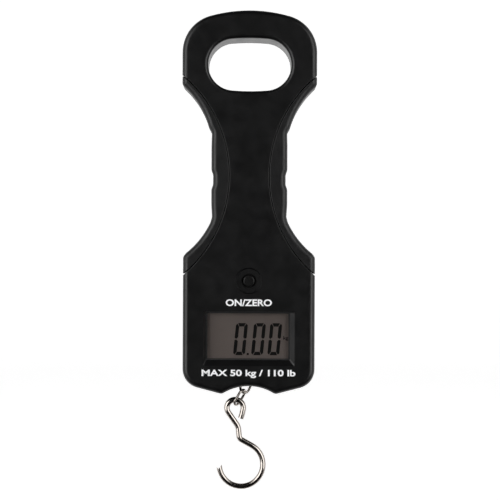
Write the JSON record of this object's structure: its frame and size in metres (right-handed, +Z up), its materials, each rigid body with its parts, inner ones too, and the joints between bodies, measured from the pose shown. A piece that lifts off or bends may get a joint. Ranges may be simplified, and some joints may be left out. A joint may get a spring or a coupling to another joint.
{
  "type": "digital fish scale",
  "caption": "Handheld hanging scale: flared case with an oval finger hole, side grips, display window, start button and a hook on chain links.",
  "frame": {"origin": "centre of the oval finger hole, at mid-depth", "axes": "+Z up along the body, away from the hook; -Y out of the display; +X to the right of the display; +Y along the finger hole's axis"},
  "size_m": [0.0702, 0.024, 0.2509],
  "materials": {
    "black_abs": "fine matte",
    "grip_rubber": "soft touch",
    "clear_acrylic": "clear",
    "lcd_glass": "brown grey, polarised",
    "white_plastic": "satin",
    "conductive_rubber": "striped",
    "green_board": "solder mask",
    "epoxy": "glossy resin",
    "component": "surface mount",
    "button_plastic": "satin",
    "switch_steel": "pressed cover",
    "cell_sleeve": "plain sleeve",
    "nickel": "nickel plated",
    "zinc_steel": "zinc plated",
    "cell_aluminium": "milled",
    "gauge_foil": "polyimide foil",
    "wire_insulation": "insulation"
  },
  "bodies": {
    "case": {"front_case": "black_abs", "rear_case": "black_abs", "left_grip": "grip_rubber", "right_grip": "grip_rubber", "display_window": "clear_acrylic", "lcd_panel": "lcd_glass", "lcd_frame": "white_plastic", "zebra_strip": "conductive_rubber", "circuit_board": "green_board", "chip_cover": "epoxy", "board_components": "component", "board_screws": "zinc_steel", "tact_switch": "switch_steel", "battery_upper": "cell_sleeve", "battery_lower": "cell_sleeve", "contact_plates": "nickel", "battery_springs": "nickel", "load_cell": "cell_aluminium", "strain_gauges": "gauge_foil", "load_hanger": "zinc_steel", "hanger_screws": "zinc_steel", "load_screw": "zinc_steel", "case_screws": "zinc_steel", "cell_wires": "wire_insulation", "battery_wires": "wire_insulation", "eye_bolt": "zinc_steel", "eye_bolt_nut": "zinc_steel"},
    "button": {"start_button": "button_plastic", "switch_plunger": "button_plastic"},
    "door": {"battery_door": "black_abs"},
    "upper_link": {"upper_link": "nickel"},
    "lower_link": {"lower_link": "nickel"},
    "hook": {"hook": "nickel"}
  },
  "joints": [
    {"name": "button_press", "type": "slide", "parent": "case", "child": "button", "axis": [0, 1, 0], "range_m": [0, 0.0005], "stiffness_N_per_m": 3000},
    {"name": "door_lift", "type": "slide", "parent": "case", "child": "door", "axis": [0, 1, 0], "range_m": [0, 0.03]},
    {"name": "upper_link_swing", "type": "hinge", "parent": "case", "child": "upper_link", "pos_m": [0, 0, -0.1652], "axis": [0, 1, 0], "range_deg": [-32, 4]},
    {"name": "lower_link_swing", "type": "hinge", "parent": "upper_link", "child": "lower_link", "pos_m": [-0.00303, 0, -0.1715], "axis": [0, 1, 0], "range_deg": [-20, 6]},
    {"name": "hook_swing", "type": "hinge", "parent": "lower_link", "child": "hook", "pos_m": [-0.00681, 0, -0.17805], "axis": [0, 1, 0], "range_deg": [-20, 45]}
  ]
}
